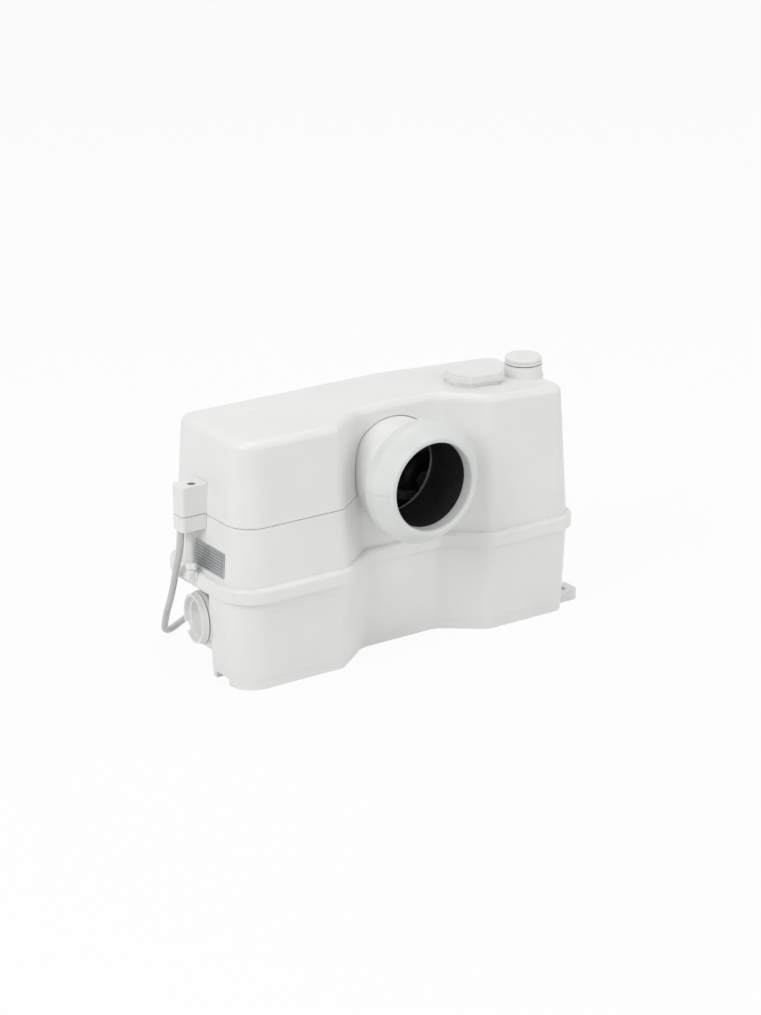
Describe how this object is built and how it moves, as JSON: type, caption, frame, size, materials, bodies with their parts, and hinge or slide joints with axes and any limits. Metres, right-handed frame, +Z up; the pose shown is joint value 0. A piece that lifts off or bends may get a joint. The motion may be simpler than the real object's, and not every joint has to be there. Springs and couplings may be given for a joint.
{
  "type": "macerator toilet pump",
  "caption": "Compact macerator pump for a toilet: boxy white two-part tank, round rubber inlet collar in front, capped side and top inlets, mains cord and plug.",
  "frame": {"origin": "middle of the footprint of the unit without its cord, on the floor", "axes": "+X to the right seen from the toilet side, along the longest side; +Y to the back, away from the toilet collar; +Z up"},
  "size_m": [0.438, 0.2745, 0.2585],
  "materials": {
    "casing": "satin",
    "cover": "satin",
    "cap": "satin",
    "collar": "matt",
    "sleeve": "matt",
    "valve": "satin",
    "plate": "brushed",
    "grey_plastic": "matt",
    "black_plastic": "matt",
    "pump_plastic": "satin",
    "seal_rubber": "matt",
    "foot_rubber": "matt",
    "cord_sheath": "satin",
    "plug": "satin",
    "hose": "satin",
    "screw_steel": "satin",
    "stainless": "brushed",
    "bright_steel": "polished",
    "motor_alloy": "cast",
    "lamination": "matt",
    "copper": "enamelled",
    "nickel": "polished",
    "carbon": "fibrous",
    "board": "satin"
  },
  "bodies": {
    "casing": {"lower_tank": "casing", "upper_tank": "casing", "motor_cover": "cover", "cable_clamp": "cover", "wc_collar": "collar", "inlet_sleeve": "sleeve", "valve_body": "valve", "blank_plate": "plate", "strain_relief": "grey_plastic", "cover_screws": "screw_steel", "valve_screws": "screw_steel", "motor_screws": "screw_steel", "pump_screws": "screw_steel", "bracket_screw": "screw_steel", "foot_bracket": "cap", "rubber_feet": "foot_rubber", "tank_gasket": "seal_rubber", "inlet_seals": "seal_rubber", "valve_seal": "seal_rubber", "motor_mount": "seal_rubber", "shaft_seal": "seal_rubber", "flap_pin": "stainless", "carbon_filter": "carbon", "riser_pipe": "pump_plastic", "riser_coupling": "seal_rubber", "riser_bracket": "grey_plastic", "motor_base": "motor_alloy", "motor_housing": "motor_alloy", "motor_cap": "motor_alloy", "motor_bearings": "bright_steel", "stator": "lamination", "motor_windings": "copper", "cutter_ring": "stainless", "pump_housing": "pump_plastic", "dip_tube": "grey_plastic", "switch_body": "black_plastic", "micro_switch": "black_plastic", "capacitor": "grey_plastic", "capacitor_cup": "black_plastic", "control_board": "board", "terminal_block": "black_plastic", "lead_in_cable": "cord_sheath", "power_cord": "cord_sheath", "cord_coil": "cord_sheath", "plug_body": "plug", "plug_pins": "nickel", "drain_nipple": "cap", "drain_hose": "hose", "drain_clip": "cap", "drain_plug": "grey_plastic"},
    "rotor_group": {"motor_shaft": "bright_steel", "rotor": "lamination", "impeller": "pump_plastic", "cutter": "stainless", "cutter_nut": "stainless"},
    "flap": {"valve_flap": "seal_rubber"},
    "vent_lid": {"filter_lid": "cap"},
    "top_cap": {"top_inlet_cap": "cap"},
    "side_cap": {"side_inlet_cap": "cap"},
    "level_sensor": {"switch_diaphragm": "seal_rubber"}
  },
  "joints": [
    {"name": "rotor_spin", "type": "hinge", "parent": "casing", "child": "rotor_group", "pos_m": [-0.108, 0.014, 0.1], "axis": [0, 0, 1], "continuous": true},
    {"name": "flap_swing", "type": "hinge", "parent": "casing", "child": "flap", "pos_m": [0.1569, 0.05, 0.1645], "axis": [0, -1, 0], "range_deg": [0, 60]},
    {"name": "vent_lid_lift", "type": "slide", "parent": "casing", "child": "vent_lid", "axis": [0.0599, 0, 0.9982], "range_m": [0, 0.02]},
    {"name": "top_cap_pull", "type": "slide", "parent": "casing", "child": "top_cap", "axis": [0, 0, 1], "range_m": [0, 0.025]},
    {"name": "side_cap_pull", "type": "slide", "parent": "casing", "child": "side_cap", "axis": [-0.9877, 0.1564, 0], "range_m": [0, 0.03]},
    {"name": "sensor_push", "type": "slide", "parent": "casing", "child": "level_sensor", "axis": [0, 0, 1], "range_m": [0, 0.0015], "stiffness_N_per_m": 200, "springref_m": -0.0005}
  ]
}
